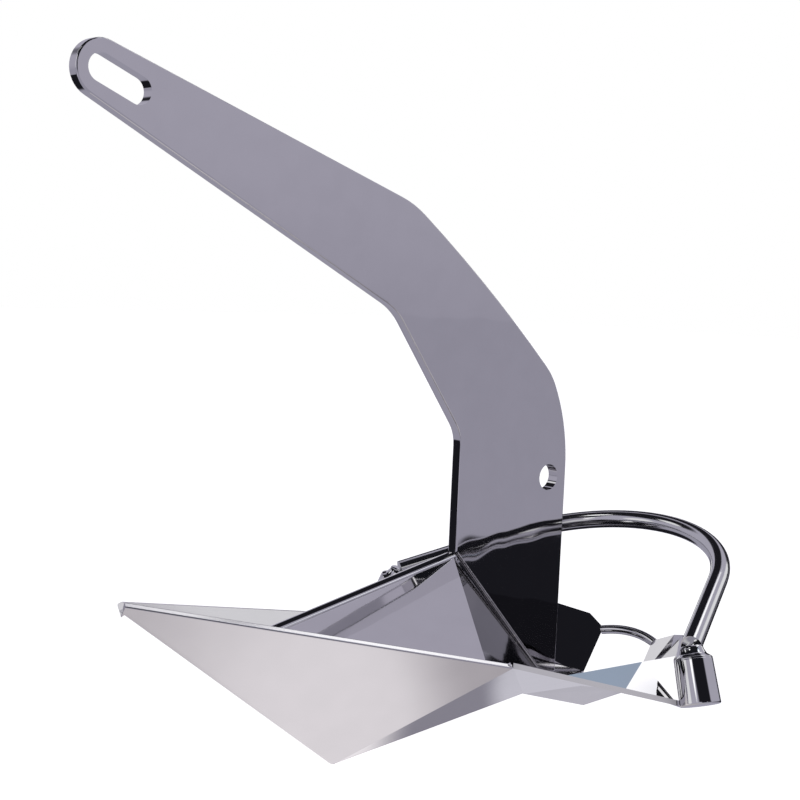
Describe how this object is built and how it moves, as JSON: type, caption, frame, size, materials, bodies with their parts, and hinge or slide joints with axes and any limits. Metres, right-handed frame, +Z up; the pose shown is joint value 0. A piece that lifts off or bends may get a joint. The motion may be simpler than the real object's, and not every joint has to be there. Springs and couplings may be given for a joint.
{
  "type": "roll bar plough anchor",
  "caption": "Mirror-polished stainless plough anchor with a cranked slotted shank, winged fluke and a leaning roll bar.",
  "frame": {"origin": "bottom centre of the anchor's box, on the plane through the keel point and the stern point", "axes": "-X ahead, from the stern to the tip; +Y to starboard; +Z up, from the keel to the shank's head"},
  "size_m": [0.7612, 0.4864, 0.628],
  "materials": {
    "polished_shank": "mirror polished",
    "polished_plate": "mirror polished",
    "polished_bar": "mirror polished",
    "weld_metal": "polished weld bead",
    "lead": "as cast"
  },
  "bodies": {
    "root": {"front_keel_weld": "polished_plate", "nose_ballast": "lead", "port_bilge_plate": "polished_plate", "port_deck_front_plate": "polished_plate", "port_deck_rear_plate": "polished_plate", "port_foot_collar": "polished_bar", "port_foot_socket": "polished_bar", "port_keel_front_plate": "polished_plate", "port_keel_rear_plate": "polished_plate", "port_shank_weld": "weld_metal", "port_stern_plate": "polished_plate", "port_wing_arm": "polished_plate", "port_wing_plate": "polished_plate", "rear_keel_weld": "polished_plate", "ridge_weld": "polished_plate", "roll_bar": "polished_bar", "shank": "polished_shank", "starboard_bilge_plate": "polished_plate", "starboard_deck_front_plate": "polished_plate", "starboard_deck_rear_plate": "polished_plate", "starboard_foot_collar": "polished_bar", "starboard_foot_socket": "polished_bar", "starboard_keel_front_plate": "polished_plate", "starboard_keel_rear_plate": "polished_plate", "starboard_shank_weld": "weld_metal", "starboard_stern_plate": "polished_plate", "starboard_wing_arm": "polished_plate", "starboard_wing_plate": "polished_plate", "trip_bar": "polished_bar"}
  },
  "joints": []
}
